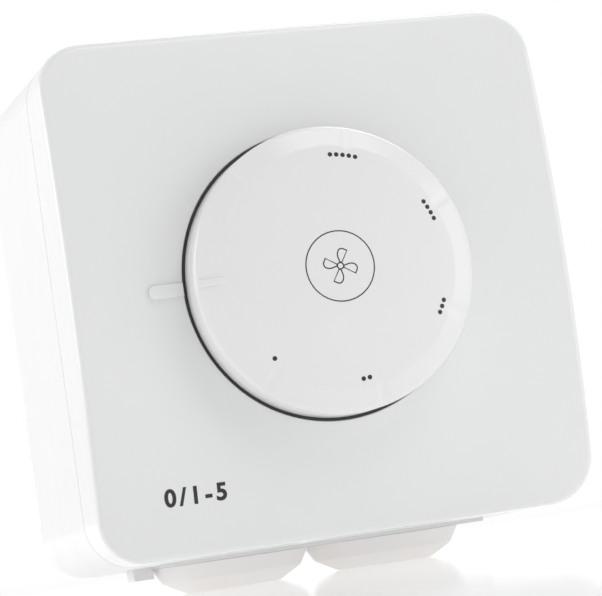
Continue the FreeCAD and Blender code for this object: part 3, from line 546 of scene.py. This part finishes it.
# %% Wall box
FLAT_ANGLE = 0.5            # degrees between triangles that count as one flat face
box = bmesh.new()
box.from_mesh(frame["nodes"]["surface_box"].data)
bmesh.ops.remove_doubles(box, verts=box.verts, dist=1e-6)
bmesh.ops.dissolve_limit(box, angle_limit=math.radians(FLAT_ANGLE), verts=box.verts, edges=box.edges)
shade(box, SHARP_ANGLE)
box_mesh = bpy.data.meshes.new("wall_box")
box.to_mesh(box_mesh)
box.free()
box_piece = add_piece(box_mesh, "wall_box", "housing", BOX_WHITE, ["surface_box"])
even_normals(box_piece)

# %% [markdown]
# Under the box sit two soft membranes that a cable is pushed through. Each is a stepped cap: a
# wide ring, a sloping step and a smaller flat end. They are spun about their own axis and
# turned so that they point down.

# %% Cable membranes
ENTRY_X = 13.6
ENTRY_HEIGHT = 15.7
BOX_BOTTOM = 42.4
SEAT_GAP = 0.05
END_EDGE = (8.1, 4.8)       # radius and height of the flat end's edge
STEP_EDGE = (11.9, 2.7)     # and of the edge between the two slopes
CAP_ROUND = 0.35
CAP_STEPS = 128
cap_section = [(0.0, END_EDGE[1]), END_EDGE, STEP_EDGE, (13.45, 0.0), (11.3, 0.0), (11.3, -2.3),
               (12.35, -2.3), (12.35, -3.7), (10.2, -3.7), (10.2, 1.35), (7.55, 3.7), (0.0, 3.7)]
for side, node in ((-1, "cable_grommet_left"), (1, "cable_grommet_right")):
    cap = spun(cap_section, CAP_STEPS)
    for radius, height in (END_EDGE, STEP_EDGE):
        soften(cap, loop_at(cap, radius, height), CAP_ROUND, 4)
    bmesh.ops.rotate(cap, cent=(0, 0, 0), matrix=Matrix.Rotation(math.radians(90), 3, "X"), verts=cap.verts)
    bmesh.ops.translate(cap, vec=(side * ENTRY_X, -BOX_BOTTOM - SEAT_GAP, ENTRY_HEIGHT), verts=cap.verts)
    name = node.replace("grommet", "membrane")
    add_piece(mesh_from(cap, name), name, "housing", GROMMET_WHITE, [node])

# %% [markdown]
# The printing is thin black ink. One to five dots on the knob count the steps, and a small fan
# stands in the middle. Each dot is a flat disc laid on the domed face; the fan's outlines are
# thin curves made into meshes and pressed onto the dome, so they follow it exactly.

# %% Dots for the five steps
DOT_CIRCLE = 17.9
DOT_RADIUS = 0.38
DOT_PITCH = 3.3             # degrees between dots
INK = 0.03                  # thickness of the print
GROUP_ANGLES = {1: 226.6, 2: 276.2, 3: 333.3, 4: 24.6, 5: 79.0}

dots = bmesh.new()
for count, middle in GROUP_ANGLES.items():
    for place in range(count):
        angle = math.radians(middle + DOT_PITCH * (place - (count - 1) / 2))
        centre = Matrix.Translation((DOT_CIRCLE * math.cos(angle), DOT_CIRCLE * math.sin(angle), 0))
        bmesh.ops.create_cone(dots, cap_ends=True, segments=24, radius1=DOT_RADIUS, radius2=DOT_RADIUS * 0.96,
                              depth=2 * INK, matrix=centre)
for vert in dots.verts:
    vert.co.z += face_height(vert.co.xy.length)
add_piece(mesh_from(dots, "step_dots"), "step_dots", "knob_group", PRINT_BLACK)


# %% Fan sign in the middle of the knob
LINE_WIDTH = 0.2
LINE_FLATNESS = 0.4         # height of a line against its width


def ink_line(name, points):
    """Closed thin round line through points, each with its own handles, as a mesh."""
    curve = bpy.data.curves.new(name, "CURVE")
    curve.dimensions = "3D"
    curve.bevel_depth = LINE_WIDTH / 2
    curve.bevel_resolution = 2
    spline = curve.splines.new("BEZIER")
    spline.bezier_points.add(len(points) - 1)
    for point, (spot, kind) in zip(spline.bezier_points, points):
        point.co = (*spot, 0.0)
        point.handle_left_type = point.handle_right_type = kind
    spline.use_cyclic_u = True
    holder = bpy.data.objects.new(name, curve)
    mesh = bpy.data.meshes.new_from_object(holder)
    bpy.data.objects.remove(holder)
    return mesh


SIGN_RADIUS = 5.55
HUB_SIGN_RADIUS = 0.5
BLADE_COUNT = 4
BLADE_TURN = -16            # degrees that the first blade is turned
quarter = [((1, 0), "AUTO"), ((0, 1), "AUTO"), ((-1, 0), "AUTO"), ((0, -1), "AUTO")]
blade = [((0.6, -0.16), "VECTOR"), ((2.6, -0.72), "VECTOR"), ((2.65, 0.4), "AUTO"), ((1.9, 0.74), "AUTO"),
         ((0.6, 0.2), "VECTOR")]

sign = bmesh.new()
for radius in (SIGN_RADIUS, HUB_SIGN_RADIUS):
    sign.from_mesh(ink_line("circle", [((x * radius, y * radius), kind) for (x, y), kind in quarter]))
for turn in range(BLADE_COUNT):
    outline_mesh = ink_line("blade", blade)
    angle = math.radians(360 / BLADE_COUNT * turn + BLADE_TURN)
    outline_mesh.transform(Matrix.Rotation(angle, 4, "Z"))
    sign.from_mesh(outline_mesh)
for vert in sign.verts:
    vert.co.z = face_height(vert.co.xy.length) + vert.co.z * LINE_FLATNESS
add_piece(mesh_from(sign, "fan_sign", 60), "fan_sign", "knob_group", PRINT_BLACK)

# %% [markdown]
# The lettering in the cover's lower corner is a text object, thickened a little and made a mesh
# before it is laid on the arch. It only names the switch's range: off, then one to five.

# %% Lettering on the cover
TEXT_X = -25.5
TEXT_Y = -32.0
TEXT_SIZE = 3.75
TEXT_WEIGHT = 0.12          # how much each stroke is thickened
TEXT_SPACING = 1.3
letters = bpy.data.curves.new("range_text", "FONT")
letters.body = "0/1-5"
letters.size = TEXT_SIZE
letters.align_x = "CENTER"
letters.align_y = "CENTER"
letters.extrude = INK
letters.offset = TEXT_WEIGHT
letters.space_character = TEXT_SPACING
holder = bpy.data.objects.new("range_text", letters)
bpy.context.scene.collection.objects.link(holder)
text = bmesh.new()
text.from_mesh(bpy.data.meshes.new_from_object(holder))
bpy.data.objects.remove(holder)
bmesh.ops.translate(text, vec=(TEXT_X, TEXT_Y, 0), verts=text.verts)
for vert in text.verts:
    vert.co.z += arch_height(vert.co.y)
add_piece(mesh_from(text, "range_lettering"), "range_lettering", "housing", PRINT_BLACK)

# %% [markdown]
# A long lens from low on the left looks slightly up at the switch, as in a product photo. The
# camera's place and direction are written as vectors, and its axes are put together as a matrix.

# %% Camera
CAMERA_PLACE = (-0.106978, -0.409133, -0.041116)
looking = Vector((0.274001, 0.956410, 0.101013)).normalized()
upward = Vector((0.112829, -0.136275, 0.984225))
across = looking.cross(upward).normalized()
upward = across.cross(looking)
lens = bpy.data.cameras.new("product_camera")
lens.sensor_fit = "HORIZONTAL"
lens.sensor_width = 36.0
lens.lens = 140.876
lens.clip_start = 0.01
camera = bpy.data.objects.new("product_camera", lens)
bpy.context.scene.collection.objects.link(camera)
camera.matrix_world = (Matrix.Translation(CAMERA_PLACE)
                       @ Matrix((across, upward, -looking)).transposed().to_4x4())
bpy.context.scene.camera = camera
print("camera at", [round(value, 4) for value in camera.location])

# %% [markdown]
# The studio is a white tent with a glossy table that is lit from below. It lies just under the
# membranes, glows a little, keeps their shadow and mirrors the switch softly. The world gives
# soft light from everywhere. A lamp on the left brightens the side wall, one above the front
# keeps the face even, a weak one on the right fills the shadows and one above the back draws a
# light edge along the knob's rim.

# %% Floor
FLOOR_HEIGHT = packed_box[0][2] - 0.00003
FLOOR_REACH = 4.0           # metres, as all lengths of the studio
FLOOR_GLOSS = 0.07


def lit_table(name, pale, glow, seen_glow):
    """White table lit from below: it glows a little, and the camera sees another glow."""
    material = bpy.data.materials.new(name)
    material.use_nodes = True
    nodes, links = material.node_tree.nodes, material.node_tree.links
    shader = nodes["Principled BSDF"]
    shader.inputs["Base Color"].default_value = (pale, pale, pale, 1)
    shader.inputs["Roughness"].default_value = FLOOR_GLOSS
    shader.inputs["Emission Color"].default_value = (1, 1, 1, 1)
    path = nodes.new("ShaderNodeLightPath")
    mix = nodes.new("ShaderNodeMix")
    mix.inputs["A"].default_value = glow
    mix.inputs["B"].default_value = seen_glow
    links.new(path.outputs["Is Camera Ray"], mix.inputs["Factor"])
    links.new(mix.outputs["Result"], shader.inputs["Emission Strength"])
    return material


floor_bm = bmesh.new()
bmesh.ops.create_grid(floor_bm, x_segments=1, y_segments=1, size=FLOOR_REACH,
                      matrix=Matrix.Translation((0, 0, FLOOR_HEIGHT)))
floor_mesh = bpy.data.meshes.new("studio_floor")
floor_bm.to_mesh(floor_mesh)
floor_bm.free()
floor_mesh.materials.append(lit_table("studio_floor", 0.6, 0.5, 0.12))
floor = bpy.data.objects.new("studio_floor", floor_mesh)
bpy.context.scene.collection.objects.link(floor)
print("floor at", round(FLOOR_HEIGHT, 4))

# %% World and lamps
world = bpy.data.worlds.new("studio")
bpy.context.scene.world = world
world.use_nodes = True
nodes, links = world.node_tree.nodes, world.node_tree.links
soft_light = nodes["Background"]
soft_light.inputs["Color"].default_value = (1, 1, 1, 1)
soft_light.inputs["Strength"].default_value = 0.47
seen_white = nodes.new("ShaderNodeBackground")
seen_white.inputs["Color"].default_value = (1, 1, 1, 1)
seen_white.inputs["Strength"].default_value = 1.0
path = nodes.new("ShaderNodeLightPath")
either = nodes.new("ShaderNodeMath")
either.operation = "MAXIMUM"
links.new(path.outputs["Is Camera Ray"], either.inputs[0])
links.new(path.outputs["Is Glossy Ray"], either.inputs[1])
either_too = nodes.new("ShaderNodeMath")
either_too.operation = "MAXIMUM"
links.new(either.outputs[0], either_too.inputs[0])
links.new(path.outputs["Is Transmission Ray"], either_too.inputs[1])
mix = nodes.new("ShaderNodeMixShader")
links.new(either_too.outputs[0], mix.inputs["Fac"])
links.new(soft_light.outputs[0], mix.inputs[1])
links.new(seen_white.outputs[0], mix.inputs[2])
links.new(mix.outputs[0], nodes["World Output"].inputs["Surface"])


def lamp(name, place, aim, size, power):
    """Square lamp at a place, turned to aim at a point."""
    light = bpy.data.lights.new(name, "AREA")
    light.shape = "SQUARE"
    light.size = size
    light.energy = power
    holder = bpy.data.objects.new(name, light)
    bpy.context.scene.collection.objects.link(holder)
    holder.location = place
    holder.rotation_euler = (Vector(aim) - Vector(place)).to_track_quat("-Z", "Y").to_euler()


lamp("left_softbox", (-0.8, 0.12, 0.25), (0, -0.03, 0), 0.5, 3.1)
lamp("top_softbox", (0.3, -0.55, 0.75), (0, -0.03, 0), 0.5, 2.0)
lamp("right_softbox", (0.75, -0.6, 0.2), (0, -0.03, 0), 0.5, 1.2)
lamp("rim_softbox", (0.45, 0.2, 0.7), (0, -0.05, 0), 0.4, 2.5)
bpy.context.scene.view_settings.view_transform = "Standard"
print("studio lit")
